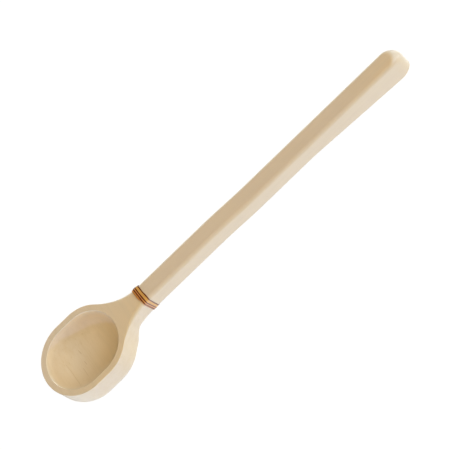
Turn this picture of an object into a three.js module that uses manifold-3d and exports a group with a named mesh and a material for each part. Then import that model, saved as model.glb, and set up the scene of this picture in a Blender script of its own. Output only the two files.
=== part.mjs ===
// Sauna ladle: a carved bowl, a handle tenoned into the bowl's neck, and a leather lace wound over the joint.
// Millimetres, +Z up. The handle runs along +X, and the origin is the middle of the bowl's base.

import * as THREE from 'three';
import { mergeVertices } from 'three/addons/utils/BufferGeometryUtils.js';
import Module from 'manifold-3d';

// Whole ladle
const OVERALL_LENGTH = 400; // front of the bowl to the end of the handle
const BOWL_HEIGHT = 28; // base to rim

// Bowl
const BOWL_WIDTH = 67.8;
const BOWL_STRAIGHT = 13.4; // straight stretch of each side, between the round ends
const RIM_WIDTH = 4.6;
const RIM_EASE = 0.5; // rounding of the rim's outer edge
const FLOOR_THICKNESS = 6; // wood left under the hollow
const HOLLOW_SQUARENESS = 2.5; // exponent of the hollow's section: 2 is an ellipse, more is squarer
const BASE_EDGE_RADIUS = 10;

// Neck
const NECK_LENGTH = 25.4; // back of the bowl's round end to the joint
const NECK_SWEEP_RADIUS = 55; // hollow curve between bowl and handle, seen from above
const NECK_RISE = 14; // run over which the underside climbs from the base to the handle
const NECK_RISE_START = 4.5; // from where the sweep leaves the bowl
const TOP_EDGE_BLEND = 28; // run over which the rim's crisp edge softens into the handle's round one
const LOW_EDGE_BLEND = 33; // run over which the base's round edge tightens into the handle's

// Handle
const HANDLE_WIDTH = 17;
const HANDLE_THICKNESS = 19.6;
const HANDLE_EDGE_RADIUS = 3.5;
const HANDLE_DIP = 1.8; // drop of the grip's top below the rim
const DIP_FROM_JOINT = 77;
const DIP_RUN = 46;
const TAIL_SWELL = 93; // run over which the underside comes down to the level of the base
const TAIL_SWELL_BLEND = 5; // rounding of the two ends of that run
const TAIL_FLAT = 5; // level stretch between the swell and the handle's end
const TAIL_EDGE_RADIUS = 2; // rounding of the underside's edges at the end of the swell
const TAIL_ROUND = 11; // length of the end's half oval, seen from above
const TAIL_LEAN = 3.7; // overhang of the end's top past its underside

// Joint
const TENON_DIAMETER = 11;
const TENON_CHAMFER = 1;
const SOCKET_FLOOR = 7; // wood left between the socket and the hollow
const SOCKET_CLEARANCE = 0.15; // all round the tenon
const GLUE_ROOM = 1; // beyond the tenon's tip
const GLUE_LINE = 0.1; // between the neck's face and the handle's shoulder

// Lace
const LACE_WIDTH = 3;
const LACE_THICKNESS = 0.55;
const LACE_LIFT = 0.45; // extra height of a turn's edge where it rides on the turn before
const LACE_EDGE = 0.2; // bevel of its long edges
const LACE_PITCH = 1.65;
const LACE_TURNS = 3;
const LACE_CLEARANCE = 0.15; // between the lace and the wood

// Fineness of the curved surfaces
const ROUND_END_STEPS = 16;
const NECK_STEPS = 12;
const HANDLE_STEP = 11;
const LOW_EDGE_STEPS = 5;
const HIGH_EDGE_STEPS = 3;
const HOLLOW_STEPS = 9;
const BAR_STEPS = 32;
const LACE_STEPS = 44;

// Limits that keep a rounding inside the wood that carries it
const MAX_SHARE_OF_HALF_WIDTH = 0.92;
const MAX_SHARE_OF_THICKNESS = 0.47;
const CUT_OVERLAP = 2; // how far a cutter or a joined piece reaches past the face it meets
const WELD = 1e-4;

// Places worked out from the driving sizes
const bowlRadius = BOWL_WIDTH / 2;
const roundEndX = BOWL_STRAIGHT / 2;
const frontX = -roundEndX - bowlRadius;
const endX = frontX + OVERALL_LENGTH;
const jointX = roundEndX + bowlRadius + NECK_LENGTH;
const hollowRadius = bowlRadius - RIM_WIDTH;
const hollowDepth = BOWL_HEIGHT - FLOOR_THICKNESS;
const handleHalf = HANDLE_WIDTH / 2;
const neckBottom = BOWL_HEIGHT - HANDLE_THICKNESS;
const sweepCentreY = handleHalf + NECK_SWEEP_RADIUS;
const sweepReach = Math.sqrt((bowlRadius + NECK_SWEEP_RADIUS) ** 2 - sweepCentreY ** 2);
const sweepEndX = roundEndX + sweepReach;
const sweepAngle = Math.atan2(sweepCentreY, sweepReach);
const sweepStartX = roundEndX + bowlRadius * Math.cos(sweepAngle);
const riseStartX = sweepStartX + NECK_RISE_START;
const swellEndX = endX - TAIL_ROUND - TAIL_FLAT;
const tenonLength = jointX - roundEndX - hollowRadius - SOCKET_FLOOR - GLUE_ROOM;

const { smoothstep } = THREE.MathUtils;
const QUARTER = Math.PI / 2;

const wasm = await Module();
wasm.setup();

// Evenly spaced values from one number to another, both included
function spread(from, to, steps) {
  return Array.from({ length: steps + 1 }, (_, i) => from + ((to - from) * i) / steps);
}

// Zero below 0 and a straight climb above it, with the corner rounded over
function softCorner(u, blend) {
  const inside = THREE.MathUtils.clamp(u, -blend, blend);
  return u > blend ? u : (inside + blend) ** 2 / (4 * blend);
}

// Height of the wood's top and underside at a place along the ladle
function dipAt(x) {
  const start = jointX + DIP_FROM_JOINT;
  return HANDLE_DIP * smoothstep(x, start, start + DIP_RUN);
}

function topAt(x) {
  return BOWL_HEIGHT - dipAt(x);
}

function swellAt(x) {
  const before = softCorner(x - swellEndX + TAIL_SWELL, TAIL_SWELL_BLEND);
  const after = softCorner(x - swellEndX, TAIL_SWELL_BLEND);
  return (before - after) / TAIL_SWELL;
}

function bottomAt(x) {
  const rise = neckBottom * smoothstep(x, riseStartX, riseStartX + NECK_RISE);
  return rise - dipAt(x) - (neckBottom - HANDLE_DIP) * swellAt(x);
}

// Half the width of the neck and the handle: a round sweep that runs out into straight sides
function halfWidthAt(x) {
  const along = Math.max(0, sweepEndX - x);
  return sweepCentreY - Math.sqrt(NECK_SWEEP_RADIUS ** 2 - along ** 2);
}

// Roundings of the long edges
function withinWood(radius, x) {
  const fromWidth = MAX_SHARE_OF_HALF_WIDTH * handleHalf;
  const fromThickness = MAX_SHARE_OF_THICKNESS * (topAt(x) - bottomAt(x));
  return Math.min(radius, fromWidth, fromThickness);
}

function topRadiusAt(x) {
  const blend = smoothstep(x, sweepStartX, sweepStartX + TOP_EDGE_BLEND);
  return RIM_EASE + (withinWood(HANDLE_EDGE_RADIUS, x) - RIM_EASE) * blend;
}

function bottomRadiusAt(x) {
  const blend = smoothstep(x, riseStartX, riseStartX + LOW_EDGE_BLEND);
  const base = Math.min(BASE_EDGE_RADIUS, MAX_SHARE_OF_THICKNESS * BOWL_HEIGHT);
  const edge = HANDLE_EDGE_RADIUS + (TAIL_EDGE_RADIUS - HANDLE_EDGE_RADIUS) * swellAt(x);
  return base + (withinWood(edge, x) - base) * blend;
}

// Section of the wood from underside to top: how far each point lies inside the outline, and its height
function edgeProfile({ x }) {
  const low = bottomRadiusAt(x);
  const high = topRadiusAt(x);
  const bottom = bottomAt(x);
  const top = topAt(x);
  return [
    ...spread(0, QUARTER, LOW_EDGE_STEPS).map((a) => [low * (1 - Math.sin(a)), bottom + low * (1 - Math.cos(a))]),
    ...spread(0, QUARTER, HIGH_EDGE_STEPS).map((a) => [high * (1 - Math.cos(a)), top - high * (1 - Math.sin(a))]),
  ];
}

// Section of the handle: the same, with the end leaning in towards its underside
function handleProfile(place) {
  const top = topAt(place.x);
  const lean = (TAIL_LEAN * place.nx) / (top - bottomAt(place.x));
  return edgeProfile(place).map(([inset, z]) => [inset + lean * (top - z), z]);
}

// Section of the hollow from its floor to above the rim
function hollowProfile() {
  const power = 2 / HOLLOW_SQUARENESS;
  const dish = spread(QUARTER, 0, HOLLOW_STEPS).map((a) => [
    hollowRadius * (1 - Math.abs(Math.cos(a)) ** power),
    BOWL_HEIGHT - hollowDepth * Math.abs(Math.sin(a)) ** power,
  ]);
  return [...dish, [0, BOWL_HEIGHT + CUT_OVERLAP]];
}

// Outlines seen from above: places on the outer edge, each with its outward direction
function ovalEnd(centreX, length, half, from, to) {
  return spread(from, to, ROUND_END_STEPS).map((angle) => {
    const slope = Math.hypot(half * Math.cos(angle), length * Math.sin(angle));
    return {
      x: centreX + length * Math.cos(angle),
      y: half * Math.sin(angle),
      nx: (half * Math.cos(angle)) / slope,
      ny: (length * Math.sin(angle)) / slope,
    };
  });
}

function roundEnd(centreX, radius, from, to) {
  return ovalEnd(centreX, radius, radius, from, to);
}

function neckOutline() {
  return spread(jointX, sweepStartX, NECK_STEPS).map((x, i) => {
    const lean = i === 0 ? 0 : Math.max(0, sweepEndX - x) / NECK_SWEEP_RADIUS;
    return { x, y: halfWidthAt(x), nx: lean, ny: Math.sqrt(1 - lean ** 2) };
  });
}

function bowlOutline() {
  return [
    ...neckOutline().slice(0, -1),
    ...roundEnd(roundEndX, bowlRadius, sweepAngle, QUARTER),
    ...roundEnd(-roundEndX, bowlRadius, QUARTER, Math.PI),
  ];
}

function hollowOutline() {
  return [
    ...roundEnd(roundEndX, hollowRadius, 0, QUARTER),
    ...roundEnd(-roundEndX, hollowRadius, QUARTER, Math.PI),
  ];
}

function handleOutline() {
  const from = jointX + GLUE_LINE;
  const to = endX - TAIL_ROUND;
  const steps = Math.ceil((to - from) / HANDLE_STEP);
  const side = spread(from, to, steps).map((x) => ({ x, y: -halfWidthAt(x), nx: 0, ny: -1 }));
  return [...side.slice(0, -1), ...ovalEnd(to, TAIL_ROUND, handleHalf, -QUARTER, 0)];
}

// Shared vertices joined, and the triangles that this collapses left out
function weld(geometry) {
  geometry.deleteAttribute('normal');
  geometry.deleteAttribute('uv');
  const welded = mergeVertices(geometry, WELD);
  const index = Array.from(welded.index.array);
  const kept = [];
  for (let i = 0; i < index.length; i += 3) {
    const corners = index.slice(i, i + 3);
    if (new Set(corners).size === corners.length) kept.push(...corners);
  }
  welded.setIndex(kept);
  return welded;
}

function fromQuads(quads) {
  const points = quads.flatMap(([a, b, c, d]) => [a, b, c, a, c, d]);
  return weld(new THREE.BufferGeometry().setFromPoints(points));
}

// Closed solid that is mirrored across the ladle's middle line. The outline runs anticlockwise, seen from above,
// from an open end or a point on the line to a point on the line, and the section is swept along it.
function carve(outline, profileOf) {
  const mirrored = outline.slice(0, -1).reverse().map((s) => ({ ...s, y: -s.y, ny: -s.ny }));
  const rows = [...outline, ...mirrored].map((s) =>
    profileOf(s).map(([inset, z]) => new THREE.Vector3(s.x - inset * s.nx, s.y - inset * s.ny, z)),
  );
  const last = rows.length - 1;
  const rim = rows[0].length - 1;
  const quads = [];
  for (let i = 0; i < last; i++) {
    for (let k = 0; k < rim; k++) {
      quads.push([rows[i][k], rows[i + 1][k], rows[i + 1][k + 1], rows[i][k + 1]]);
    }
  }
  for (let i = 0; i < outline.length - 1; i++) {
    const across = [rows[i], rows[i + 1], rows[last - i - 1], rows[last - i]];
    quads.push(across.map((row) => row[rim]));
    quads.push(across.map((row) => row[0]).reverse());
  }
  for (let k = 0; k < rim; k++) {
    quads.push([rows[0][k], rows[0][k + 1], rows[last][k + 1], rows[last][k]]);
  }
  return fromQuads(quads);
}

// Round bar along X at a given height, bevelled at its far end
function roundBar(radius, fromX, toX, bevel, z) {
  const profile = [
    new THREE.Vector2(0, fromX),
    new THREE.Vector2(radius - bevel, fromX),
    new THREE.Vector2(radius, fromX + bevel),
    new THREE.Vector2(radius, toX),
    new THREE.Vector2(0, toX),
  ];
  const bar = new THREE.LatheGeometry(profile, BAR_STEPS);
  bar.rotateZ(-QUARTER);
  bar.translate(0, 0, z);
  return weld(bar);
}

function toSolid(geometry) {
  const vertProperties = new Float32Array(geometry.attributes.position.array);
  const triVerts = new Uint32Array(geometry.index.array);
  return new wasm.Manifold(new wasm.Mesh({ numProp: 3, vertProperties, triVerts }));
}

function toGeometry(solid) {
  const mesh = solid.getMesh();
  const geometry = new THREE.BufferGeometry();
  geometry.setAttribute('position', new THREE.BufferAttribute(mesh.vertProperties, 3));
  geometry.setIndex(new THREE.BufferAttribute(mesh.triVerts, 1));
  geometry.computeVertexNormals();
  return geometry;
}

// Bowl and neck in one block, hollowed from above and bored from the joint for the handle's tenon
function bowlGeometry() {
  const block = toSolid(carve(bowlOutline(), edgeProfile));
  const hollow = toSolid(carve(hollowOutline(), hollowProfile));
  const boreRadius = TENON_DIAMETER / 2 + SOCKET_CLEARANCE;
  const boreEnd = jointX - tenonLength - GLUE_ROOM;
  const socket = toSolid(roundBar(boreRadius, boreEnd, jointX + CUT_OVERLAP, 0, tenonHeight()));
  return toGeometry(block.subtract(hollow).subtract(socket));
}

function tenonHeight() {
  return (topAt(jointX) + bottomAt(jointX)) / 2;
}

// Handle with the tenon turned on its end
function handleGeometry() {
  const shaft = toSolid(carve(handleOutline(), handleProfile));
  const shoulder = jointX + GLUE_LINE + CUT_OVERLAP;
  const tenon = toSolid(roundBar(TENON_DIAMETER / 2, jointX - tenonLength, shoulder, TENON_CHAMFER, tenonHeight()));
  return toGeometry(shaft.add(tenon));
}

// Section of the neck at x, anticlockwise seen from the handle's end, from the middle of its underside
function neckSection(x) {
  const half = halfWidthAt(x);
  const low = bottomRadiusAt(x);
  const high = topRadiusAt(x);
  const bottom = bottomAt(x);
  const top = topAt(x);
  const section = new THREE.Path();
  section.moveTo(0, bottom);
  section.lineTo(half - low, bottom);
  section.absarc(half - low, bottom + low, low, -QUARTER, 0);
  section.absarc(half - high, top - high, high, 0, QUARTER);
  section.absarc(high - half, top - high, high, QUARTER, 2 * QUARTER);
  section.absarc(low - half, bottom + low, low, 2 * QUARTER, 3 * QUARTER);
  section.lineTo(0, bottom);
  return section;
}

// Point beside the neck: share is the way round its section, and height is measured out from the wood
function besideNeck(x, share, height) {
  const section = neckSection(x);
  const place = section.getPointAt(share);
  const heading = section.getTangentAt(share);
  const out = height + LACE_CLEARANCE;
  return new THREE.Vector3(x, place.x + heading.y * out, place.y - heading.x * out);
}

// One turn of the lace, which advances by the pitch on its way round
function laceTurn(startX) {
  const crest = LACE_THICKNESS + LACE_LIFT;
  const profile = [
    [0, 0],
    [LACE_WIDTH, 0],
    [LACE_WIDTH, LACE_THICKNESS - LACE_EDGE],
    [LACE_WIDTH - LACE_EDGE, LACE_THICKNESS],
    [LACE_EDGE, crest],
    [0, crest - LACE_EDGE],
  ];
  const rows = spread(0, 1, LACE_STEPS).map((share) =>
    profile.map(([along, height]) => besideNeck(startX + LACE_PITCH * share + along, share, height)),
  );
  const sides = profile.length;
  const quads = [];
  for (let j = 0; j < LACE_STEPS; j++) {
    for (let k = 0; k < sides; k++) {
      const next = (k + 1) % sides;
      quads.push([rows[j][k], rows[j][next], rows[j + 1][next], rows[j + 1][k]]);
    }
  }
  const [a, b, c, d, e, f] = rows[LACE_STEPS];
  quads.push([a, b, c, f], [c, d, e, f]);
  const [g, h, i, l, m, n] = rows[0];
  quads.push([n, i, h, g], [n, m, l, i]);
  return toSolid(fromQuads(quads));
}

// Lace wound over the joint, each turn lapped on the one before
function laceGeometry() {
  const band = LACE_WIDTH + LACE_PITCH * LACE_TURNS;
  const turns = spread(0, LACE_TURNS - 1, LACE_TURNS - 1).map((n) => laceTurn(jointX - band / 2 + n * LACE_PITCH));
  return toGeometry(turns.reduce((wound, turn) => wound.add(turn)));
}

const paleWood = { color: 0xd9c19a, roughness: 0.62, metalness: 0 };
const tanLeather = { color: 0xb98a4a, roughness: 0.5, metalness: 0 };

const ladle = new THREE.Group();

function addPiece(name, geometry, finish) {
  const piece = new THREE.Mesh(geometry, new THREE.MeshStandardMaterial(finish));
  piece.name = name;
  ladle.add(piece);
}

addPiece('bowl', bowlGeometry(), paleWood);
addPiece('handle', handleGeometry(), paleWood);
addPiece('lace', laceGeometry(), tanLeather);

export default ladle;
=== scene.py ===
import math
from collections import namedtuple

import bmesh
import bpy
from bpy.props import FloatProperty, FloatVectorProperty, IntProperty, PointerProperty
from mathutils import Matrix, Vector


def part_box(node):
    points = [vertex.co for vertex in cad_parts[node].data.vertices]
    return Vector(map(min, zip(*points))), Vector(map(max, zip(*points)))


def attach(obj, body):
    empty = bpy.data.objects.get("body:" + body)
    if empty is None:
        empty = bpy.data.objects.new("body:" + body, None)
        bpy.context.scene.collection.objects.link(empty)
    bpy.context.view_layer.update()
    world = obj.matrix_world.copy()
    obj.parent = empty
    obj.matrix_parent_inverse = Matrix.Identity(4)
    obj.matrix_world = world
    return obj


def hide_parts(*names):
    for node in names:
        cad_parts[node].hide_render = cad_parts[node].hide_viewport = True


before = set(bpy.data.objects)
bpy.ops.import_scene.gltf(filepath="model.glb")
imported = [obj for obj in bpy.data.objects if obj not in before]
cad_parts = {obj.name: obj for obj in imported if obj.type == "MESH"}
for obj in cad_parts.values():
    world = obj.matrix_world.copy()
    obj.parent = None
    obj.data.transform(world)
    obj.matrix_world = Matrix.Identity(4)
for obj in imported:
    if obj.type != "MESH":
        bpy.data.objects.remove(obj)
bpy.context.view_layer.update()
BOWL_LOW, BOWL_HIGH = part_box("bowl")

bl_info = {
    "name": "Sauna Ladle",
    "version": (1, 0, 0),
    "blender": (4, 5, 0),
    "location": "View3D > Sidebar > Ladle",
    "description": "Carved wooden ladle with a tenoned handle and a leather lace wound over the joint",
    "category": "Add Mesh",
}

MM = 0.001
QUARTER = math.pi / 2
X, Y, Z = 0, 1, 2  # the axes, as vectors and sockets number them
WELD = 1e-6  # points closer than this are one
ON_PLANE = 1e-7  # points this near a plane lie on it
SHARP = math.radians(40.0)  # faces that turn by more than this meet in a sharp edge

# Fineness of the curved surfaces
ROUND_END_STEPS = 48  # quarter turn of the bowl's outline
STRAIGHT_STEPS = 8
NECK_STEPS = 36
HANDLE_STEPS = 110
TAIL_STEPS = 28
LOW_EDGE_STEPS = 12
WALL_STEPS = 12
HIGH_EDGE_STEPS = 8
HOLLOW_STEPS = 30
LIP_STEPS = 4
BORE_STEPS = 32
LACE_STEPS = 170  # each turn
LACE_RING = 24  # points round the strip's section

# Section and lie of the lace
SECTION_POWER = 0.45  # 1 makes the section an oval, and less makes it squarer
MIDDLE = 0.5  # of the strip's width
TUCKED_BREADTH = 0.35  # share of the width that the tucked ends keep
SET_POWER = 3  # the higher it is, the less the set towards the bowl reaches round the corners

# Turns of the lace over which it changes
CLIMBS = 0.0, 0.95  # it climbs on to the turn before
NARROWS = 0.52, 0.60  # the first turn loses width
WIDENS = 0.85, 1.0  # the first turn gets it back
FLARES = 2.50, 2.58  # the last turn gains width
FLARE_ENDS = 2.64, 2.80  # the last turn loses it again
DARKENS = 0.7, 1.0  # the lapped edge goes from the first turn's tone to its full one
PALES = 1.9, 2.1  # the first turns' painted shade, a redder russet, gives way to the tan of the last turn

# Dark edges of the lace: burnished cut edges, widened with painted shadow where each turn steps up on to the
# one before and where the last turn meets the wood; as places across the strip from its lapped edge, at 0, to
# its free edge, at 1
LAPPED_EDGE = 0.24, 0.27  # the dark of the lapped edge fades out
FREE_EDGE = 0.75, 0.80  # the dark of the free edge comes in
FIRST_EDGE = 0.25  # darkness of the first turn's lapped edge, which lies flat on the wood and so gets less of the painted shadow

# Lamps: bearing anticlockwise from +X, height above the floor and spread, in degrees
Lamp = namedtuple("Lamp", "name bearing height spread strength tint")
WARM = (1.0, 0.895, 0.65)
PALE = (0.72, 0.86, 0.94)
COOL = (0.80, 0.90, 1.0)
BLUE = (0.20, 0.36, 1.0)
LAMPS = (
    Lamp("Key light", 300.0, 47.0, 45.0, 1.17, WARM),
    Lamp("End light", 0.0, 45.0, 60.0, 0.88, WARM),
    Lamp("Low far light", 75.0, 6.0, 16.0, 1.60, COOL),
    Lamp("Front light", 180.0, 20.0, 50.0, 0.92, WARM),
    Lamp("Low side light", 302.0, 7.0, 14.0, 1.02, PALE),
    Lamp("Low front light", 225.0, 15.0, 0.3, 0.68, BLUE),
)
FLOOR_WHITE = 0.9  # light that the floor gives back
GLOW_SHARE = 0.85  # share of a plain white glow in the floor where it is seen or mirrored
GLOW_STRENGTH = 1.12
SIGHT = 4  # how far the camera sees, against its distance from the ladle

# Layers of grain in wood and leather: features in each metre, how many of them there are along the grain as a
# share of that, how many finer octaves they have, the range of the noise that shows, how much of the darker
# colour it brings, and the strength of each octave against the one before
PLAIN_GAIN = 0.5
Layer = namedtuple("Layer", "fineness lengthwise octaves low high share gain", defaults=(PLAIN_GAIN,))
BANDS = Layer(240.0, 0.03, 2.0, 0.35, 0.75, 0.30)
CLOUDS = Layer(45.0, 0.25, 2.0, 0.35, 0.70, 0.20)
FIBRES = Layer(1500.0, 0.03, 4.0, 0.45, 0.75, 0.16)
PORES = Layer(750.0, 0.03, 1.0, 0.64, 0.80, 0.20)
LEATHER_PATCHES = Layer(420.0, 1.0, 2.0, 0.35, 0.70, 0.50)
LEATHER_PORES = Layer(3800.0, 1.0, 3.0, 0.55, 0.80, 0.50, gain=0.6)
PORES_ON_PLANED = 0.15  # share of the wood's pores that still shows where it isn't hollowed

# Relief and gloss
RELIEF = 0.05  # height of the relief in millimetres
RELIEF_STRENGTH = 0.35
ROUGHENS = 0.3, 0.7  # range of the finest noise over which the roughness climbs
WOOD_ROUGHNESS = 0.46, 0.58
WOOD_GLOSS = {"Coat Weight": 0.3, "Coat Roughness": 0.35, "Sheen Weight": 1.0, "Sheen Roughness": 0.7}
LEATHER_ROUGHNESS = 0.30, 0.42
LEATHER_GLOSS = {"Specular IOR Level": 0.15, "Coat Weight": 1.0, "Coat Roughness": 0.1, "Coat IOR": 2.05}

# Drift of the wood's colour from golden, at 0, to pale, at 1: its change in each metre and its value at the
# origin; in the hollow it is painted light and shade, golden on the shaded neck and near walls and pale on
# the lit front and far walls
Drift = namedtuple("Drift", "along across up start")
HOLLOW_LIGHT_DRIFT = Drift(-16.5, 21.2, -45.0, 0.87)
BOWL_DRIFT = Drift(-2.9, 5.0, 0.0, 0.505)
HANDLE_DRIFT = Drift(-14.3, 0.0, 0.0, 5.15)

# How far a face looks up, aside or along the grain, from -1 to 1, where a colour starts and where it is full
TOP_FACING = 0.5, 0.95  # the top; faces that look less up than this get the paler side colour, painted light that makes the sides look lit brighter than the top
EDGE_SHADE_UP = 0.1, 0.5  # the rounded long edges, which get painted shade
EDGE_SHADE_ASIDE = 0.2, 0.6
EDGE_SHADE_SHARE = 0.35  # share of the darker colour painted on those edges as shade
# End colour on the faces that look along the grain: on the handle a painted highlight, near white, fading out
# where the end turns to the near side; on the bowl the paler side colour, painted light
LitEnd = namedtuple("LitEnd", "along_grain aside")
EVERY_SIDE = -2.0, -1.0  # below what any face has, so it holds for all of them
BOWL_LIT_END = LitEnd((0.15, 0.6), EVERY_SIDE)
HANDLE_END_HIGHLIGHT = LitEnd((0.05, 0.6), (-0.92, -0.45))

# Dark fibres laid bare in the hollow: place along the ladle, first and last place across it, and darkness;
# the lengths are in millimetres
Streak = namedtuple("Streak", "x first last depth")
STREAKS = (
    Streak(-8.3, 11.2, 15.8, 0.75),
    Streak(-10.1, 0.6, 5.4, 0.75),
    Streak(-23.4, -15.0, 13.0, 0.50),
    Streak(-14.3, -9.0, 1.2, 0.55),
    Streak(-10.3, 25.0, 27.0, 0.35),
)
STREAK_HALF_WIDTH = 0.32
STREAK_FADE = 0.9  # length over which each end fades
STREAK_WANDER = 0.5  # how far it strays to each side
STREAK_BENDS = 90.0  # bends in each metre
STREAK_OCTAVES = 2.0

# Colours of one piece of wood; its paler side colour, its hollow's two colours and its end colour are painted
# light
WoodColours = namedtuple("WoodColours", "sanded golden pale hollow_golden hollow_pale dark end fleck")

# Sockets of a colour's mix node
MIX_SHARE, MIX_FIRST, MIX_SECOND = 0, 6, 7
MIX_RESULT = 2


def length(name, description, millimetres):
    """Length that a user can change, given in millimetres."""
    return FloatProperty(
        name=name, description=description, default=millimetres * MM, min=0.0, precision=5, unit="LENGTH")


def angle(name, description, degrees):
    """Angle that a user can change, given in degrees."""
    return FloatProperty(name=name, description=description, default=math.radians(degrees), subtype="ANGLE")


def colour(name, description, red, green, blue):
    """Colour that a user can change, as linear shares of red, green and blue."""
    return FloatVectorProperty(
        name=name, description=description, default=(red, green, blue), min=0.0, max=1.0, subtype="COLOR")


class LadleBowlSizes(bpy.types.PropertyGroup):
    """Sizes of the bowl and its neck."""

    width: length("Width", "Across the bowl, outside", (BOWL_HIGH.y - BOWL_LOW.y) / MM)
    height: length("Height", "Base to rim", BOWL_HIGH.z / MM)
    straight: length("Straight side", "Straight stretch of each side, between the round ends", 13.4)
    rim_width: length("Rim width", "Flat land between the outer edge and the hollow", 5.15)
    rim_ease: length("Rim ease", "Rounding of the rim's outer edge", 0.5)
    lip_ease: length("Lip ease", "Rounding of the rim's inner edge", 0.2)
    floor: length("Floor", "Wood left under the hollow", 6.0)
    squareness: FloatProperty(
        name="Hollow squareness", description="Exponent of the hollow's section, 2 for an ellipse",
        default=2.5, min=1.0, max=6.0)
    base_radius: length("Base radius", "Rounding of the base's edge", 10.0)
    neck_length: length("Neck length", "Back of the round end to the joint", 25.4)
    sweep_radius: length("Sweep radius", "Hollow curve between bowl and handle, seen from above", 55.0)
    neck_rise: length("Neck rise", "Run over which the underside climbs to the handle", 14.0)
    rise_start: length("Rise start", "From where the sweep leaves the bowl to the start of the rise", 4.5)
    top_blend: length("Top edge blend", "Run over which the crisp rim softens into the handle's edge", 28.0)
    low_blend: length("Low edge blend", "Run over which the base's round edge tightens", 33.0)
    socket_floor: length("Socket floor", "Wood left between the socket and the hollow", 7.0)


class LadleHandleSizes(bpy.types.PropertyGroup):
    """Sizes of the handle and its tenon."""

    overall: length("Overall length", "Front of the bowl to the end of the handle", 400.0)
    width: length("Width", "Across the handle", 17.0)
    thickness: length("Thickness", "Top to underside at the joint", 19.6)
    edge_radius: length("Edge radius", "Rounding of the long edges", 3.5)
    dip: length("Dip", "Drop of the grip's top below the rim", 1.8)
    dip_start: length("Dip start", "Joint to the start of the dip", 77.0)
    dip_run: length("Dip run", "Length of the dip's slope", 46.0)
    swell: length("Swell", "Run over which the underside comes down to the base's level", 93.0)
    swell_blend: length("Swell blend", "Rounding of the two ends of the swell", 5.0)
    tail_flat: length("Tail flat", "Level stretch between the swell and the round end", 5.0)
    tail_edge: length("Tail edge", "Rounding of the underside's edges at the end", 2.0)
    tail_round: length("Tail round", "Length of the end's half oval, seen from above", 14.0)
    tail_lean: length("Tail lean", "Overhang of the end's top past its underside", 4.6)
    tail_nose: length("Tail nose", "Rounding of the top's edge at the end", 10.0)
    tenon_diameter: length("Tenon diameter", "Round tenon in the neck's socket", 11.0)
    tenon_chamfer: length("Tenon chamfer", "Bevel of the tenon's tip", 1.0)
    tenon_play: length("Tenon play", "Room for glue all round the tenon", 0.15)
    glue_room: length("Glue room", "Room beyond the tenon's tip", 1.0)
    glue_line: length("Glue line", "Between the neck's face and the handle's shoulder", 0.1)


class LadleLaceSizes(bpy.types.PropertyGroup):
    """Sizes of the leather lace."""

    width: length("Width", "Width of the strip", 3.8)
    thickness: length("Thickness", "Thickness of the strip", 0.42)
    near_thickness: length("Near thickness", "Thickness on the near side, where it is drawn tightest", 0.16)
    lift: length("Lift", "Height of a turn's edge where it rides on the turn before", 0.8)
    near_lift: length("Near lift", "The same on the near side", 0.2)
    slack: length("Slack", "Extra room under the strip on the far side", 0.3)
    near_set: length("Near set", "How far the turns lie towards the bowl on the near side", 0.5)
    narrowing: length("Narrowing", "Width that the first turn loses on the near side", 1.15)
    flare: length("Flare", "Width that the last turn gains where it bends over the near edge", 0.45)
    pitch: length("Pitch", "Advance of each turn", 1.7)
    turns: IntProperty(name="Turns", description="Times round the neck", default=3, min=1)
    taper: length("Taper", "Length over which each end narrows to be tucked in", 7.0)
    clearance: length("Clearance", "Between the strip and the wood", 0.06)
    offset: length("Offset", "From the joint to the middle of the binding", 0.3)


class LadleFinish(bpy.types.PropertyGroup):
    """Colours of the wood and the leather."""

    # Painted light: paler than the rim and neck, so that the bowl's sides look lit brighter than its top
    bowl_side_lit: colour("Bowl side", "Sanded outside of the bowl", 0.758, 0.632, 0.50)
    bowl_golden: colour("Golden bowl wood", "Rim and neck, towards the neck's end", 0.755, 0.503, 0.184)
    bowl_pale: colour("Pale bowl wood", "Rim and neck, towards the front", 0.727, 0.597, 0.487)
    # Painted shade and light in the hollow: golden where the walls lie in shade, pale where the light reaches
    hollow_golden: colour("Golden hollow wood", "Hollow, towards the neck", 0.772, 0.508, 0.172)
    hollow_pale: colour("Pale hollow wood", "Hollow, towards the front", 0.785, 0.672, 0.565)
    # Also painted on the rounded long edges as shade
    bowl_grain_and_edge_shade: colour("Bowl grain", "Darker growth bands of the bowl's wood", 0.62, 0.47, 0.27)
    # Painted light: paler than the handle's top, so that its sides look lit brighter
    handle_side_lit: colour("Handle side", "Sanded sides of the handle", 0.725, 0.58, 0.406)
    handle_golden: colour("Golden handle wood", "Planed top at the handle's end", 0.767, 0.542, 0.283)
    handle_pale: colour("Pale handle wood", "Planed top of the handle", 0.724, 0.546, 0.367)
    # Also painted on the rounded long edges as shade
    handle_grain_and_edge_shade: colour("Handle grain", "Darker growth bands of the handle's wood", 0.63, 0.485, 0.32)
    # Painted highlight: near white on the handle's end, fading out where it turns to the near side
    handle_end_highlight: colour("Handle end", "End grain of the handle", 0.88, 0.80, 0.75)
    fleck: colour("Fleck", "Short brown flecks in the grain", 0.46, 0.30, 0.12)
    # Painted shade: a redder tone on the first turns, which lie in the shade of the last
    shaded_russet: colour("Russet leather", "Grain side of the lace's first turns", 0.86, 0.375, 0.095)
    tan: colour("Tan leather", "Grain side of the lace's last turn", 0.74, 0.40, 0.105)
    tan_deep: colour("Worn leather", "Darker patches of the lace", 0.68, 0.32, 0.075)
    # Burnished cut edges, with painted shadow beside them
    dark_edge_and_shadow: colour("Cut edge", "Burnished cut edges of the lace", 0.13, 0.010, 0.002)


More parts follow.
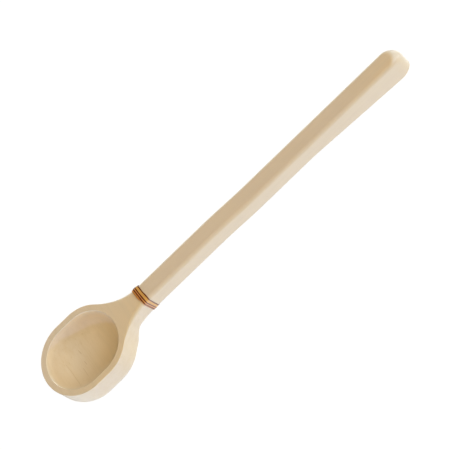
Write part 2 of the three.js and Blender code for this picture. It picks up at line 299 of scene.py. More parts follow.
class LadleStage(bpy.types.PropertyGroup):
    """Camera and studio."""

    azimuth: angle("View azimuth", "Turn of the view from the ladle's side towards the handle's end", 20.95)
    elevation: angle("View elevation", "Height of the view above the floor", 55.2)
    roll: angle("View roll", "Turn of the picture about the line of sight", -61.4)
    aim: FloatVectorProperty(
        name="Aim", description="Point in the middle of the picture",
        default=(150.64 * MM, 10.99 * MM, -2.29 * MM), subtype="TRANSLATION", unit="LENGTH")
    view_width: length("View width", "Width of the picture at the point aimed at", 365.4)
    lens: FloatProperty(
        name="Lens", description="Focal length, long enough to flatten the view",
        default=900.0, min=1.0, max=5000.0, unit="CAMERA")
    floor_size: length("Floor size", "Half the side of the floor", 20000.0)
    floor_gap: length("Floor gap", "Between the base and the floor", 0.2)
    sky: colour("Room", "Faint light from all round", 0.13, 0.11, 0.075)


def mixed(first, second, share):
    """Number a share of the way from the first to the second."""
    return first + (second - first) * share


def smoothstep(x, low, high):
    """Smooth climb from 0 at low to 1 at high."""
    share = min(1.0, max(0.0, (x - low) / (high - low)))
    return share * share * (3.0 - 2.0 * share)


def rise_and_fall(x, rise, fall):
    """Smooth climb from 0 to 1 over one range and back to 0 over another."""
    return smoothstep(x, *rise) * (1.0 - smoothstep(x, *fall))


def soft_corner(u, blend):
    """Zero below 0 and a straight climb above it, with the corner rounded over."""
    inside = min(blend, max(-blend, u))
    return u if u > blend else (inside + blend) ** 2 / (4.0 * blend)


def round_over(depth, radius):
    """How far a rounded edge stands back at a depth below the surface it starts from."""
    return radius - math.sqrt(radius ** 2 - max(0.0, radius - depth) ** 2)


def spread(start, end, steps):
    """Evenly spaced values from start to end, both included."""
    return [start + (end - start) * step / steps for step in range(steps + 1)]


class LadleForm:
    """Lines of the wood: the places that follow from its sizes, and its heights, widths and edges along X."""

    def __init__(self, bowl, handle):
        self.bowl = bowl
        self.handle = handle
        self.bowl_radius = bowl.width / 2
        self.round_end_x = bowl.straight / 2
        self.end_x = handle.overall - self.round_end_x - self.bowl_radius
        self.joint_x = self.round_end_x + self.bowl_radius + bowl.neck_length
        self.hollow_radius = self.bowl_radius - bowl.rim_width
        self.hollow_depth = bowl.height - bowl.floor
        self.handle_half = handle.width / 2
        self.neck_bottom = bowl.height - handle.thickness
        self.sweep_y = self.handle_half + bowl.sweep_radius
        reach = math.sqrt((self.bowl_radius + bowl.sweep_radius) ** 2 - self.sweep_y ** 2)
        self.sweep_x = self.round_end_x + reach
        self.sweep_angle = math.atan2(self.sweep_y, reach)
        self.sweep_start_x = self.round_end_x + self.bowl_radius * math.cos(self.sweep_angle)
        self.rise_x = self.sweep_start_x + bowl.rise_start
        self.swell_end_x = self.end_x - handle.tail_round - handle.tail_flat
        self.socket_x = self.round_end_x + self.hollow_radius + bowl.socket_floor
        self.tenon_z = (self.top(self.joint_x) + self.bottom(self.joint_x)) / 2

    def dip(self, x):
        """Drop of the top below the rim."""
        start = self.joint_x + self.handle.dip_start
        return self.handle.dip * smoothstep(x, start, start + self.handle.dip_run)

    def top(self, x):
        """Height of the top."""
        return self.bowl.height - self.dip(x)

    def swell(self, x):
        """Share of the way that the underside has come down again towards the handle's end."""
        before = soft_corner(x - self.swell_end_x + self.handle.swell, self.handle.swell_blend)
        after = soft_corner(x - self.swell_end_x, self.handle.swell_blend)
        return (before - after) / self.handle.swell

    def bottom(self, x):
        """Height of the underside."""
        rise = self.neck_bottom * smoothstep(x, self.rise_x, self.rise_x + self.bowl.neck_rise)
        return rise - self.dip(x) - (self.neck_bottom - self.handle.dip) * self.swell(x)

    def half_width(self, x):
        """Half the width of the neck and the handle."""
        along = max(0.0, self.sweep_x - x)
        return self.sweep_y - math.sqrt(self.bowl.sweep_radius ** 2 - along ** 2)

    def top_radius(self, x):
        """Rounding of the top's edges."""
        blend = smoothstep(x, self.sweep_start_x, self.sweep_start_x + self.bowl.top_blend)
        return mixed(self.bowl.rim_ease, self.handle.edge_radius, blend)

    def low_radius(self, x):
        """Rounding of the underside's edges."""
        blend = smoothstep(x, self.rise_x, self.rise_x + self.bowl.low_blend)
        edge = mixed(self.handle.edge_radius, self.handle.tail_edge, self.swell(x))
        return mixed(self.bowl.base_radius, edge, blend)

    def wall(self, x):
        """Section from underside to top: how far each point lies inside the outline, and its height."""
        low = self.low_radius(x)
        high = self.top_radius(x)
        foot = self.bottom(x) + low
        head = self.top(x) - high
        turn_in = [
            (low * (1 - math.sin(a)), foot - low * math.cos(a))
            for a in spread(0, QUARTER, LOW_EDGE_STEPS)
        ]
        side = [(0.0, z) for z in spread(foot, head, WALL_STEPS)]
        turn_over = [
            (high * (1 - math.cos(a)), head + high * math.sin(a))
            for a in spread(0, QUARTER, HIGH_EDGE_STEPS)
        ]
        return turn_in + side[1:-1] + turn_over

    def nose(self, depth):
        """How much further than the long edges the end's top edge stands back, at a depth below the top."""
        return round_over(depth, self.handle.tail_nose) - round_over(depth, self.handle.edge_radius)

    def hollow(self):
        """Section of the hollow, rim to middle: how far each point lies inside the lip, and its height."""
        ease = self.bowl.lip_ease
        power = 2 / self.bowl.squareness
        top = self.bowl.height
        lip = [
            (-ease * (1 - math.sin(a)), top - ease * (1 - math.cos(a)))
            for a in spread(0, QUARTER, LIP_STEPS)
        ]
        dish = []
        for a in spread(0, QUARTER, HOLLOW_STEPS):
            inset = self.hollow_radius * (1 - abs(math.cos(a)) ** power)
            dish.append((inset, top - self.hollow_depth * math.sin(a) ** power))
        return lip + [(inset, z) for inset, z in dish if z < top - ease]

    def neck_point(self, x, share):
        """Place and way out on the neck's section, a share of the way round from its lowest middle."""
        half_share = min(share, 1.0 - share)
        side = 1.0 if half_share == share else -1.0
        half = self.half_width(x)
        low = self.low_radius(x)
        high = self.top_radius(x)
        bottom = self.bottom(x)
        top = self.top(x)
        flat_low = half - low
        arc_low = low * QUARTER
        upright = top - bottom - low - high
        arc_high = high * QUARTER
        flat_high = half - high
        run = half_share * 2 * (flat_low + arc_low + upright + arc_high + flat_high)
        if run < flat_low:
            place, out = Vector((run, bottom)), Vector((0.0, -1.0))
        elif (run := run - flat_low) < arc_low:
            out = Vector((math.sin(run / low), -math.cos(run / low)))
            place = Vector((flat_low, bottom + low)) + low * out
        elif (run := run - arc_low) < upright:
            place, out = Vector((half, bottom + low + run)), Vector((1.0, 0.0))
        elif (run := run - upright) < arc_high:
            out = Vector((math.cos(run / high), math.sin(run / high)))
            place = Vector((flat_high, top - high)) + high * out
        else:
            place, out = Vector((flat_high - run + arc_high, top)), Vector((0.0, 1.0))
        return Vector((x, side * place.x, place.y)), Vector((0.0, side * out.x, out.y))


def pick(geometry, kind):
    """Items of one kind among the geometry that an operator gives back."""
    return [item for item in geometry if isinstance(item, kind)]


def draw_arc(bm, vert, centre, turn, steps, axis=(0.0, 0.0, 1.0)):
    """Carry a vertex round an axis, leaving a chain of edges, and return the chain's last vertex."""
    spun = bmesh.ops.spin(bm, geom=[vert], cent=centre, axis=axis, angle=turn, steps=steps, use_merge=False)
    return pick(spun["geom_last"], bmesh.types.BMVert)[0]


def draw_line(bm, vert, end, steps):
    """Carry a vertex straight to a point, leaving a chain of edges, and return the chain's last vertex."""
    stride = (Vector(end) - vert.co) / steps
    for _ in range(steps):
        made = bmesh.ops.extrude_vert_indiv(bm, verts=[vert])
        vert = made["verts"][0]
        bmesh.ops.translate(bm, verts=[vert], vec=stride)
    return vert


def extrude_chain(bm, edges, move):
    """Extrude a chain of edges once, move each new vertex, and return the new chain."""
    made = bmesh.ops.extrude_edge_only(bm, edges=edges)["geom"]
    fresh = pick(made, bmesh.types.BMVert)
    for vert in fresh:
        move(vert)
    return [edge for edge in pick(made, bmesh.types.BMEdge) if all(vert in fresh for vert in edge.verts)]


class Outline:
    """Half outline of a carved piece, drawn as a chain that runs anticlockwise seen from above."""

    def __init__(self):
        self.bm = bmesh.new()
        self.place = self.bm.verts.layers.float_vector.new("place")
        self.outward = self.bm.verts.layers.float_vector.new("outward")
        self.hollowed = self.bm.verts.layers.float.new("hollowed")

    def start(self, x, y):
        """First vertex of a chain."""
        return self.bm.verts.new((x, y, 0.0))

    def settle(self, chain, first_out, last_out):
        """Note each vertex's place in the outline and its outward direction on the vertex itself."""
        for before, vert, after in zip([None] + chain[:-1], chain, chain[1:] + [None]):
            if before is None:
                out = Vector(first_out)
            elif after is None:
                out = Vector(last_out)
            else:
                heading = (vert.co - before.co).normalized() + (after.co - vert.co).normalized()
                out = Vector((heading.y, -heading.x, 0.0)).normalized()
            vert[self.place] = vert.co
            vert[self.outward] = out

    def put(self, vert, inset, z, back=0.0):
        """Move a vertex to a distance inside its place in the outline, to a height, and back from the end."""
        vert.co = Vector(vert[self.place]) - inset * Vector(vert[self.outward])
        vert.co.x -= back
        vert.co.z = z

    def sweep(self, edges, section):
        """Raise a chain of edges along a section that depends on the place, and return the last chain."""
        first = {vert for edge in edges for vert in edge.verts}
        levels = len(section(next(iter(first))))
        for vert in first:
            self.put(vert, *section(vert)[0])
        for level in range(1, levels):
            edges = extrude_chain(self.bm, edges, lambda vert: self.put(vert, *section(vert)[level]))
        return edges

    def close_to_middle(self, edges):
        """Carry a chain of edges straight across to the middle line."""
        extrude_chain(self.bm, edges, lambda vert: setattr(vert.co, "y", 0.0))

    def join(self, first, second):
        """Draw an edge between two vertices."""
        self.bm.edges.new((first, second))

    def fill_plane(self, axis, level):
        """Flat face over the open edges that lie in a plane across an axis."""
        flat = [
            edge for edge in self.bm.edges
            if len(edge.link_faces) < 2
            and all(abs(vert.co[axis] - level) < ON_PLANE for vert in edge.verts)
        ]
        bmesh.ops.edgeloop_fill(self.bm, edges=flat)

    def at(self, x, y, z):
        """Vertex nearest to a point."""
        return min(self.bm.verts, key=lambda vert: (vert.co - Vector((x, y, z))).length)

    def finish(self):
        """Whole closed mesh: the half mirrored, joined along the middle and turned to face out."""
        bm = self.bm
        for vert in bm.verts:
            if abs(vert.co.y) < ON_PLANE:
                vert.co.y = 0.0
        whole = bm.verts[:] + bm.edges[:] + bm.faces[:]
        bmesh.ops.mirror(bm, geom=whole, matrix=Matrix.Identity(4), merge_dist=WELD, axis="Y")
        bmesh.ops.remove_doubles(bm, verts=bm.verts[:], dist=WELD)
        bmesh.ops.dissolve_degenerate(bm, dist=WELD, edges=bm.edges[:])
        bmesh.ops.recalc_face_normals(bm, faces=bm.faces[:])
        notes = bm.verts.layers.float_vector
        for name in ("outward", "place"):
            notes.remove(notes[name])
        return bm


def draw_front(bm, vert, form, radius):
    """Straight side and round front, from where the round back ends."""
    vert = draw_line(bm, vert, (-form.round_end_x, radius, 0.0), STRAIGHT_STEPS)
    draw_arc(bm, vert, (-form.round_end_x, 0.0, 0.0), QUARTER, ROUND_END_STEPS)


def raise_bowl_wall(outline, form):
    """Outer wall swept along the outline, from the joint round to the front, and the base under it."""
    bm = outline.bm
    sweep_centre = Vector((form.sweep_x, form.sweep_y, 0.0))
    back_centre = (form.round_end_x, 0.0, 0.0)
    joint = outline.start(form.joint_x, form.half_width(form.joint_x))
    from_centre = joint.co - sweep_centre
    joint_angle = math.atan2(-from_centre.y, -from_centre.x)
    vert = draw_arc(bm, joint, sweep_centre, form.sweep_angle - joint_angle, NECK_STEPS)
    vert = draw_arc(bm, vert, back_centre, QUARTER - form.sweep_angle, ROUND_END_STEPS // 2)
    draw_front(bm, vert, form, form.bowl_radius)
    outline.settle(bm.verts[:], (0.0, 1.0, 0.0), (-1.0, 0.0, 0.0))
    foot = bm.edges[:]
    outline.sweep(foot, lambda vert: form.wall(vert[outline.place].x))
    outline.close_to_middle(foot)


def scoop_hollow(outline, form):
    """Hollow swept from the lip down to the middle of its floor."""
    bm = outline.bm
    vert_count = len(bm.verts)
    edge_count = len(bm.edges)
    lip = outline.start(form.round_end_x + form.hollow_radius, 0.0)
    vert = draw_arc(bm, lip, (form.round_end_x, 0.0, 0.0), QUARTER, ROUND_END_STEPS)
    draw_front(bm, vert, form, form.hollow_radius)
    outline.settle(bm.verts[vert_count:], (1.0, 0.0, 0.0), (-1.0, 0.0, 0.0))
    section = form.hollow()
    outline.sweep(bm.edges[edge_count:], lambda vert: section)
    for vert in bm.verts[vert_count:]:
        vert[outline.hollowed] = 1.0 if vert.co.z < form.bowl.height - form.bowl.lip_ease else 0.0


def close_rim(outline, form):
    """Flat top of the rim and the neck; returns the vertex at the middle of the neck's end."""
    top = form.bowl.height
    lip_x = form.round_end_x + form.hollow_radius + form.bowl.lip_ease
    front_x = -form.round_end_x - form.bowl_radius + form.bowl.rim_ease
    crest_y = form.half_width(form.joint_x) - form.top_radius(form.joint_x)
    shoulder = outline.bm.verts.new((form.joint_x, 0.0, top))
    outline.join(outline.at(form.joint_x, crest_y, top), shoulder)
    outline.join(shoulder, outline.at(lip_x, 0.0, top))
    outline.join(outline.at(-lip_x, 0.0, top), outline.at(front_x, 0.0, top))
    outline.fill_plane(Z, top)
    return shoulder


def turn_joint(outline, form, face_x, shoulder, radius, steps):
    """Face of the joint, and the round wall of a socket or tenon that runs from it to a closed far end."""
    bm = outline.bm
    head = bm.verts.new((face_x, 0.0, form.tenon_z + radius))
    outline.join(shoulder, head)
    before = set(bm.edges)
    heel = draw_arc(bm, head, (face_x, 0.0, form.tenon_z), -2 * QUARTER, BORE_STEPS, (1.0, 0.0, 0.0))
    heel.co.y = 0.0
    edges = [edge for edge in bm.edges if edge not in before]
    outline.join(heel, outline.at(face_x, 0.0, form.bottom(face_x)))
    outline.fill_plane(X, face_x)

    def carry(vert, x, share):
        vert.co = Vector((x, vert.co.y * share, form.tenon_z + (vert.co.z - form.tenon_z) * share))

    for far_x, far_radius in steps:
        share = far_radius / radius
        edges = extrude_chain(bm, edges, lambda vert: carry(vert, far_x, share))
        radius = far_radius
    far_head = outline.at(far_x, 0.0, form.tenon_z + radius)
    far_heel = outline.at(far_x, 0.0, form.tenon_z - radius)
    outline.join(far_head, far_heel)
    outline.fill_plane(X, far_x)


def carve_bowl(form):
    """Bowl and neck: outer wall, hollow, rim and the socket for the tenon."""
    outline = Outline()
    raise_bowl_wall(outline, form)
    scoop_hollow(outline, form)
    shoulder = close_rim(outline, form)
    bore = form.handle.tenon_diameter / 2 + form.handle.tenon_play
    turn_joint(outline, form, form.joint_x, shoulder, bore, [(form.socket_x, bore)])
    return outline.finish()


def shape_handle(form):
    """Handle: its section swept from the round end to the shoulder, with the tenon on its end."""
    outline = Outline()
    bm = outline.bm
    handle = form.handle
    oval_x = form.end_x - handle.tail_round
    face_x = form.joint_x + handle.glue_line
    tip = outline.start(form.end_x, 0.0)
    flank = draw_arc(bm, tip, (oval_x, 0.0, 0.0), QUARTER, TAIL_STEPS)
    bmesh.ops.scale(bm, verts=bm.verts[:], vec=(1.0, form.handle_half / handle.tail_round, 1.0))
    draw_line(bm, flank, (face_x, form.handle_half, 0.0), HANDLE_STEPS)
    for vert in bm.verts:
        if vert.co.x < form.sweep_x:
            vert.co.y = form.half_width(vert.co.x)
    outline.settle(bm.verts[:], (1.0, 0.0, 0.0), (0.0, 1.0, 0.0))

    def section(vert):
        x = vert[outline.place].x
        top = form.top(x)
        lean = handle.tail_lean * vert[outline.outward].x / (top - form.bottom(x))
        share = max(0.0, (x - oval_x) / handle.tail_round)
        return [(inset + lean * (top - z), z, share * form.nose(top - z)) for inset, z in form.wall(x)]

    foot = bm.edges[:]
    crest = outline.sweep(foot, section)
    outline.close_to_middle(foot)
    outline.close_to_middle(crest)
    shoulder = outline.at(face_x, 0.0, form.top(face_x))
    radius = handle.tenon_diameter / 2
    tip_x = form.socket_x + handle.glue_room
    steps = [(tip_x + handle.tenon_chamfer, radius), (tip_x, radius - handle.tenon_chamfer)]
    turn_joint(outline, form, face_x, shoulder, radius, steps)
    return outline.finish()


def wind_lace(form, lace):
    """Leather strip wound round the neck over the joint, each turn lapped on the one before."""
    bm = bmesh.new()
    across = bm.verts.layers.float.new("across")
    along = bm.verts.layers.float.new("along")
    height = bm.verts.layers.float.new("height")
    bmesh.ops.create_circle(bm, cap_ends=False, segments=LACE_RING, radius=1.0)
    for vert in bm.verts:
        vert[across] = (1 + math.copysign(abs(vert.co.x) ** SECTION_POWER, vert.co.x)) / 2
        vert[height] = (1 + math.copysign(abs(vert.co.y) ** SECTION_POWER, vert.co.y)) / 2
    band = lace.width + lace.pitch * lace.turns
    start_x = form.joint_x + lace.offset - band / 2
    girth = 2 * (form.handle.width + form.handle.thickness)
    taper = 0.0, lace.taper / girth

    def lay(vert, turn):
        """Put a vertex of the strip's section where it lies after a number of turns."""
        ends = min(smoothstep(turn, *taper), smoothstep(lace.turns - turn, *taper))
        share = MIDDLE + (vert[across] - MIDDLE) * mixed(TUCKED_BREADTH, 1.0, ends)
        loss = lace.narrowing / lace.width * rise_and_fall(turn, NARROWS, WIDENS)
        gain = lace.flare / lace.width * rise_and_fall(turn, FLARES, FLARE_ENDS)
        share = mixed(loss, 1.0 + gain, share)
        x = start_x + lace.pitch * turn + lace.width * share
        near = max(0.0, -form.neck_point(x, turn % 1.0)[1].y)
        place, out = form.neck_point(x - lace.near_set * near ** SET_POWER, turn % 1.0)
        room = lace.clearance + lace.slack * max(0.0, out.y)
        ride = mixed(lace.lift, lace.near_lift, near) * (1.0 - share) * smoothstep(turn, *CLIMBS)
        thickness = mixed(lace.thickness, lace.near_thickness, near)
        vert.co = place + out * (room + ride + thickness * vert[height])
        vert[along] = turn

    edges = bm.edges[:]
    bmesh.ops.edgeloop_fill(bm, edges=edges)
    for vert in bm.verts:
        lay(vert, 0.0)
    steps = LACE_STEPS * lace.turns
    for step in range(1, steps + 1):
        turn = min(lace.turns * step / steps, lace.turns - WELD)
        edges = extrude_chain(bm, edges, lambda vert: lay(vert, turn))
    bmesh.ops.edgeloop_fill(bm, edges=edges)
    bmesh.ops.recalc_face_normals(bm, faces=bm.faces[:])
    return bm


def add_piece(name, bm, material, node):
    """Object made of a finished mesh, standing for a solid of the frame."""
    mesh = bpy.data.meshes.new(name)
    bm.to_mesh(mesh)
    bm.free()
    mesh.shade_smooth()
    mesh.set_sharp_from_angle(angle=SHARP)
    mesh.materials.append(material)
    piece = bpy.data.objects.new(name, mesh)
    bpy.context.scene.collection.objects.link(piece)
    shading = piece.modifiers.new("Even shading", "WEIGHTED_NORMAL")
    shading.keep_sharp = True
    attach(piece, "root")
    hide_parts(node)


def add_node(tree, kind, inputs=None, **settings):
    """Shader node with its settings and inputs; an input that is another node's output gets a link."""
    made = tree.nodes.new(kind)
    for name, value in settings.items():
        setattr(made, name, value)
    for key, value in (inputs or {}).items():
        if isinstance(value, bpy.types.NodeSocket):
            tree.links.new(value, made.inputs[key])
        else:
            made.inputs[key].default_value = value
    return made


def new_material(name):
    """Empty material and its node tree."""
    material = bpy.data.materials.new(name)
    material.use_nodes = True
    material.node_tree.nodes.clear()
    return material, material.node_tree


def calculate(tree, operation, first, second=0.0, **settings):
    """Result of a calculation with one or two numbers."""
    return add_node(tree, "ShaderNodeMath", {0: first, 1: second}, operation=operation, **settings).outputs[0]


def attribute(tree, name):
    """Number that the mesh holds at each vertex."""
    return add_node(tree, "ShaderNodeAttribute", attribute_name=name).outputs["Fac"]


def noise(tree, place, scale, octaves, gain=PLAIN_GAIN):
    """Cloudy noise from 0 to 1."""
    made = add_node(
        tree, "ShaderNodeTexNoise",
        {"Vector": place, "Scale": scale, "Detail": octaves, "Roughness": gain})
    return made.outputs["Fac"]


def between(tree, value, low, high, to_low=0.0, to_high=1.0):
    """Value carried from one range to another and held at its ends."""
    made = add_node(
        tree, "ShaderNodeMapRange",
        {"Value": value, "From Min": low, "From Max": high, "To Min": to_low, "To Max": to_high},
        interpolation_type="SMOOTHSTEP")
    return made.outputs["Result"]


def opaque(value):
    """Colour with its opacity, as a socket takes it; another node's output stays as it is."""
    return value if isinstance(value, bpy.types.NodeSocket) else (*value, 1.0)


def blend(tree, share, first, second):
    """Colour that goes from the first to the second as share goes from 0 to 1."""
    inputs = {MIX_SHARE: share, MIX_FIRST: opaque(first), MIX_SECOND: opaque(second)}
    return add_node(tree, "ShaderNodeMix", inputs, data_type="RGBA").outputs[MIX_RESULT]


def shade(tree, base, roughness, height, gloss):
    """Surface with a colour, a roughness, a relief and a gloss."""
    bump = add_node(
        tree, "ShaderNodeBump",
        {"Height": height, "Strength": RELIEF_STRENGTH, "Distance": RELIEF * MM})
    surface = add_node(
        tree, "ShaderNodeBsdfPrincipled",
        {"Base Color": base, "Roughness": roughness, "Normal": bump.outputs["Normal"], **gloss})
    add_node(tree, "ShaderNodeOutputMaterial", {"Surface": surface.outputs["BSDF"]})


def grain(tree, place, layer, along=X):
    """Noise of one layer of the grain, which runs along one axis."""
    scale = [layer.lengthwise if axis == along else 1.0 for axis in (X, Y, Z)]
    stretched = add_node(tree, "ShaderNodeMapping", {"Vector": place, "Scale": scale}).outputs["Vector"]
    return noise(tree, stretched, layer.fineness, layer.octaves, layer.gain)


def grain_share(tree, place, layer, along=X):
    """Share of the darker colour that one layer of the grain brings."""
    return between(tree, grain(tree, place, layer, along), layer.low, layer.high, 0.0, layer.share)


def bare_fibres(tree, place):
    """Thin dark fibres that lie across the ladle, as a depth from 0 to 1."""
    axes = add_node(tree, "ShaderNodeSeparateXYZ", {"Vector": place}).outputs
    bend = noise(tree, place, STREAK_BENDS, STREAK_OCTAVES)
    wander = between(tree, bend, 0.0, 1.0, -STREAK_WANDER * MM, STREAK_WANDER * MM)
    run = calculate(tree, "ADD", axes[X], wander)
    total = 0.0
    for streak in STREAKS:
        aside = calculate(tree, "ABSOLUTE", calculate(tree, "SUBTRACT", run, streak.x * MM))
        line = between(tree, aside, 0.0, STREAK_HALF_WIDTH * MM, streak.depth, 0.0)
        begin = between(tree, axes[Y], streak.first * MM, (streak.first + STREAK_FADE) * MM)
        end = between(tree, axes[Y], (streak.last - STREAK_FADE) * MM, streak.last * MM, 1.0, 0.0)
        line = calculate(tree, "MULTIPLY", line, calculate(tree, "MULTIPLY", begin, end))
        total = calculate(tree, "MAXIMUM", total, line)
    return total


def drifted(tree, place, drift):
    """Share of the pale colour at a place."""
    change = (drift.along, drift.across, drift.up)
    slope = add_node(tree, "ShaderNodeVectorMath", {0: place, 1: change}, operation="DOT_PRODUCT")
    return calculate(tree, "ADD", slope.outputs["Value"], drift.start, use_clamp=True)


def painted_light_tone(tree, place, facing, hollowed, colours, drift):
    """Colour of the wood with painted light: sides paler than the top, so that they look lit brighter, and a
    hollow that goes from painted shade to painted light.
    """
    top_tone = blend(tree, drifted(tree, place, drift), colours.golden, colours.pale)
    # Painted light and shade in the hollow: golden towards the shaded neck and near walls, pale towards the
    # lit front and far walls
    hollow_tone = blend(tree, drifted(tree, place, HOLLOW_LIGHT_DRIFT), colours.hollow_golden, colours.hollow_pale)
    top = calculate(tree, "MAXIMUM", between(tree, facing[Z], *TOP_FACING), hollowed)
    return blend(tree, top, colours.sanded, blend(tree, hollowed, top_tone, hollow_tone))


def painted_edge_shade(tree, facing, hollowed):
    """Share of the darker colour painted as shade on the rounded long edges, and none in the hollow."""
    aside = between(tree, calculate(tree, "ABSOLUTE", facing[Y]), *EDGE_SHADE_ASIDE)
    edge = calculate(tree, "MULTIPLY", aside, between(tree, facing[Z], *EDGE_SHADE_UP))
    return calculate(tree, "MULTIPLY", edge, between(tree, hollowed, 0.0, 1.0, EDGE_SHADE_SHARE, 0.0))


def painted_lit_end(tree, facing, cut, along):
    """Share of the end colour, painted light, on the faces that look along the grain."""
    aside = between(tree, facing[Y], *cut.aside)
    return calculate(tree, "MULTIPLY", between(tree, facing[along], *cut.along_grain), aside)


def wood(name, colours, drift, cut, along):
    """Sanded pale wood whose grain runs along one axis of the ladle, with painted light and shade in its
    colour.
    """
    material, tree = new_material(name)
    coordinates = add_node(tree, "ShaderNodeTexCoord").outputs
    place = coordinates["Object"]
    facing = add_node(tree, "ShaderNodeSeparateXYZ", {"Vector": coordinates["Normal"]}).outputs
    hollowed = attribute(tree, "hollowed")
    tone = painted_light_tone(tree, place, facing, hollowed, colours, drift)
    # Painted shade on the rounded long edges
    tone = blend(tree, painted_edge_shade(tree, facing, hollowed), tone, colours.dark)
    # Painted light on the faces that look along the grain: a highlight on the handle's end, the paler side
    # colour on the bowl
    tone = blend(tree, painted_lit_end(tree, facing, cut, along), tone, colours.end)
    for layer in (BANDS, CLOUDS, FIBRES):
        tone = blend(tree, grain_share(tree, place, layer, along), tone, colours.dark)
    pores_left = between(tree, hollowed, 0.0, 1.0, PORES_ON_PLANED, 1.0)
    pores = calculate(tree, "MULTIPLY", grain_share(tree, place, PORES, along), pores_left)
    tone = blend(tree, pores, tone, colours.fleck)
    streaks = calculate(tree, "MULTIPLY", bare_fibres(tree, place), hollowed)
    tone = blend(tree, streaks, tone, colours.fleck)
    fibre = grain(tree, place, FIBRES, along)
    shade(tree, tone, between(tree, fibre, *ROUGHENS, *WOOD_ROUGHNESS), fibre, WOOD_GLOSS)
    return material


def leather(name, shaded_russet, tan, deep, edge):
    """Tan lace leather with burnished dark edges and painted shadow beside them, first turns in painted
    shade, fine pores and darker worn patches.
    """
    material, tree = new_material(name)
    place = add_node(tree, "ShaderNodeTexCoord").outputs["Object"]
    across = attribute(tree, "across")
    along = attribute(tree, "along")
    # Painted shade on the first turns, which lie under the last
    tone = blend(tree, between(tree, along, *PALES), shaded_russet, tan)
    for layer in (LEATHER_PATCHES, LEATHER_PORES):
        tone = blend(tree, grain_share(tree, place, layer), tone, deep)
    # Burnished edge and painted shadow along each lapped edge and along the free edge
    darkness = between(tree, along, *DARKENS, FIRST_EDGE, 1.0)
    lapped = calculate(tree, "MULTIPLY", between(tree, across, *LAPPED_EDGE, 1.0, 0.0), darkness)
    tone = blend(tree, lapped, tone, edge)
    tone = blend(tree, between(tree, across, *FREE_EDGE), tone, edge)
    pores = grain(tree, place, LEATHER_PORES)
    shade(tree, tone, between(tree, pores, *ROUGHENS, *LEATHER_ROUGHNESS), pores, LEATHER_GLOSS)
    return material


def form_of(context):
    """Lines of the wood at the sizes that the scene holds."""
    return LadleForm(context.scene.ladle_bowl, context.scene.ladle_handle)


class LADLE_OT_carve_bowl(bpy.types.Operator):
    """Carve the bowl with its neck, its hollow and the socket for the handle's tenon"""

    bl_idname = "ladle.carve_bowl"
    bl_label = "Carve Bowl"

    def execute(self, context):
        finish = context.scene.ladle_finish
        colours = WoodColours(
            sanded=finish.bowl_side_lit, golden=finish.bowl_golden, pale=finish.bowl_pale,
            hollow_golden=finish.hollow_golden, hollow_pale=finish.hollow_pale,
            dark=finish.bowl_grain_and_edge_shade, end=finish.bowl_side_lit, fleck=finish.fleck)
        material = wood("Bowl wood", colours, BOWL_DRIFT, BOWL_LIT_END, Y)
        add_piece("ladle_bowl", carve_bowl(form_of(context)), material, "bowl")
        return {"FINISHED"}


class LADLE_OT_shape_handle(bpy.types.Operator):
    """Shape the handle with its dip, its swelling end and its tenon"""

    bl_idname = "ladle.shape_handle"
    bl_label = "Shape Handle"

    def execute(self, context):
        finish = context.scene.ladle_finish
        colours = WoodColours(
            sanded=finish.handle_side_lit, golden=finish.handle_golden, pale=finish.handle_pale,
            hollow_golden=finish.handle_golden, hollow_pale=finish.handle_pale,
            dark=finish.handle_grain_and_edge_shade, end=finish.handle_end_highlight, fleck=finish.fleck)
        material = wood("Handle wood", colours, HANDLE_DRIFT, HANDLE_END_HIGHLIGHT, X)
        add_piece("ladle_handle", shape_handle(form_of(context)), material, "handle")
        return {"FINISHED"}


class LADLE_OT_wind_lace(bpy.types.Operator):
    """Wind the leather lace over the joint"""

    bl_idname = "ladle.wind_lace"
    bl_label = "Wind Lace"

    def execute(self, context):
        finish = context.scene.ladle_finish
        material = leather("Lace leather", finish.shaded_russet, finish.tan, finish.tan_deep, finish.dark_edge_and_shadow)
        bm = wind_lace(form_of(context), context.scene.ladle_lace)
        add_piece("ladle_lace", bm, material, "lace")
        return {"FINISHED"}


def floor_material():
    """White floor that keeps a faint shadow and shows white where it is seen or mirrored."""
    material, tree = new_material("Studio floor")
    rays = add_node(tree, "ShaderNodeLightPath").outputs
    seen = calculate(tree, "MAXIMUM", rays["Is Camera Ray"], rays["Is Glossy Ray"])
    seen = calculate(tree, "MAXIMUM", seen, rays["Is Transmission Ray"])
    share = calculate(tree, "MULTIPLY", seen, GLOW_SHARE)
    paper = add_node(tree, "ShaderNodeBsdfDiffuse", {"Color": opaque([FLOOR_WHITE] * 3)})
    glow = add_node(tree, "ShaderNodeEmission", {"Color": opaque([1.0] * 3), "Strength": GLOW_STRENGTH})
    both = add_node(tree, "ShaderNodeMixShader", {0: share, 1: paper.outputs[0], 2: glow.outputs[0]})
    add_node(tree, "ShaderNodeOutputMaterial", {"Surface": both.outputs[0]})
    return material


def lay_floor(scene, stage):
    """Wide flat floor just under the base."""
    bm = bmesh.new()
    bmesh.ops.create_grid(bm, x_segments=1, y_segments=1, size=stage.floor_size)
    bmesh.ops.translate(bm, verts=bm.verts[:], vec=(0.0, 0.0, -stage.floor_gap))
    mesh = bpy.data.meshes.new("studio_floor")
    bm.to_mesh(mesh)
    bm.free()
    mesh.materials.append(floor_material())
    floor = bpy.data.objects.new("studio_floor", mesh)
    scene.collection.objects.link(floor)


def light_room(scene, tint):
    """Faint light from all round."""
    world = bpy.data.worlds.new("Studio")
    world.use_nodes = True
    tree = world.node_tree
    tree.nodes.clear()
    sky = add_node(tree, "ShaderNodeBackground", {"Color": opaque(tint)})
    add_node(tree, "ShaderNodeOutputWorld", {"Surface": sky.outputs[0]})
    scene.world = world


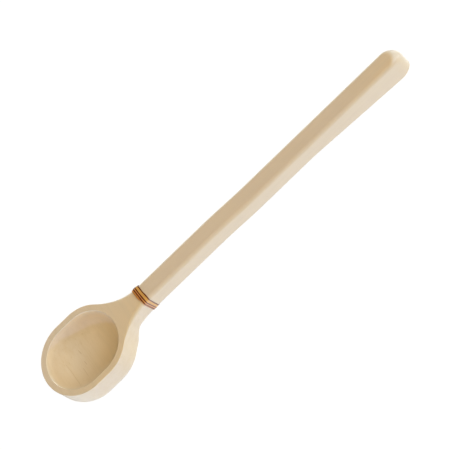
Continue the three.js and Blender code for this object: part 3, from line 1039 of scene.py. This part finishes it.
def add_lamp(scene, lamp):
    """Broad far lamp, so that the light is even along the whole ladle."""
    light = bpy.data.lights.new(lamp.name, "SUN")
    light.angle = math.radians(lamp.spread)
    light.energy = lamp.strength
    light.color = lamp.tint
    bearing = math.radians(lamp.bearing)
    height = math.radians(lamp.height)
    level = math.cos(height)
    toward = Vector((level * math.cos(bearing), level * math.sin(bearing), math.sin(height)))
    stand = bpy.data.objects.new(lamp.name, light)
    stand.location = Vector(scene.ladle_stage.aim) + toward
    stand.rotation_euler = toward.to_track_quat("Z", "Y").to_euler()
    stand.visible_glossy = False
    scene.collection.objects.link(stand)


def add_camera(scene, stage):
    """Camera at the photograph's angle, far away behind a long lens."""
    camera = bpy.data.cameras.new("View")
    camera.lens = stage.lens
    distance = stage.view_width * camera.lens / camera.sensor_width
    camera.clip_end = SIGHT * distance
    level = math.cos(stage.elevation)
    back = Vector(
        (math.sin(stage.azimuth) * level, -math.cos(stage.azimuth) * level, math.sin(stage.elevation)))
    eye = bpy.data.objects.new("View", camera)
    turn = back.to_track_quat("Z", "Y").to_matrix().to_4x4() @ Matrix.Rotation(stage.roll, 4, "Z")
    eye.matrix_world = Matrix.Translation(Vector(stage.aim) + distance * back) @ turn
    scene.collection.objects.link(eye)
    scene.camera = eye


class LADLE_OT_set_stage(bpy.types.Operator):
    """Set the floor, the studio light and the camera"""

    bl_idname = "ladle.set_stage"
    bl_label = "Set Stage"

    def execute(self, context):
        scene = context.scene
        stage = scene.ladle_stage
        lay_floor(scene, stage)
        light_room(scene, stage.sky)
        for lamp in LAMPS:
            add_lamp(scene, lamp)
        add_camera(scene, stage)
        scene.view_settings.view_transform = "Standard"
        return {"FINISHED"}


class LADLE_PT_sidebar(bpy.types.Panel):
    """Sizes, finishes and steps of the ladle"""

    bl_idname = "LADLE_PT_sidebar"
    bl_label = "Sauna Ladle"
    bl_space_type = "VIEW_3D"
    bl_region_type = "UI"
    bl_category = "Ladle"

    def draw(self, context):
        for group in GROUPS:
            box = self.layout.box()
            settings = getattr(context.scene, group)
            for name in settings.__annotations__:
                box.prop(settings, name)
            if group in STEPS:
                box.operator(STEPS[group])


GROUPS = {
    "ladle_finish": LadleFinish,
    "ladle_bowl": LadleBowlSizes,
    "ladle_handle": LadleHandleSizes,
    "ladle_lace": LadleLaceSizes,
    "ladle_stage": LadleStage,
}
STEPS = {
    "ladle_bowl": "ladle.carve_bowl",
    "ladle_handle": "ladle.shape_handle",
    "ladle_lace": "ladle.wind_lace",
    "ladle_stage": "ladle.set_stage",
}
CLASSES = (
    *GROUPS.values(),
    LADLE_OT_carve_bowl,
    LADLE_OT_shape_handle,
    LADLE_OT_wind_lace,
    LADLE_OT_set_stage,
    LADLE_PT_sidebar,
)


def register():
    """Add the classes to Blender and the settings to its scenes."""
    for cls in CLASSES:
        bpy.utils.register_class(cls)
    for name, group in GROUPS.items():
        setattr(bpy.types.Scene, name, PointerProperty(type=group))


def unregister():
    """Take the settings and the classes away again."""
    for name in GROUPS:
        delattr(bpy.types.Scene, name)
    for cls in reversed(CLASSES):
        bpy.utils.unregister_class(cls)


def main():
    """Make the ladle and its stage."""
    register()
    bpy.ops.ladle.carve_bowl()
    bpy.ops.ladle.shape_handle()
    bpy.ops.ladle.wind_lace()
    bpy.ops.ladle.set_stage()


if __name__ == "__main__":
    main()
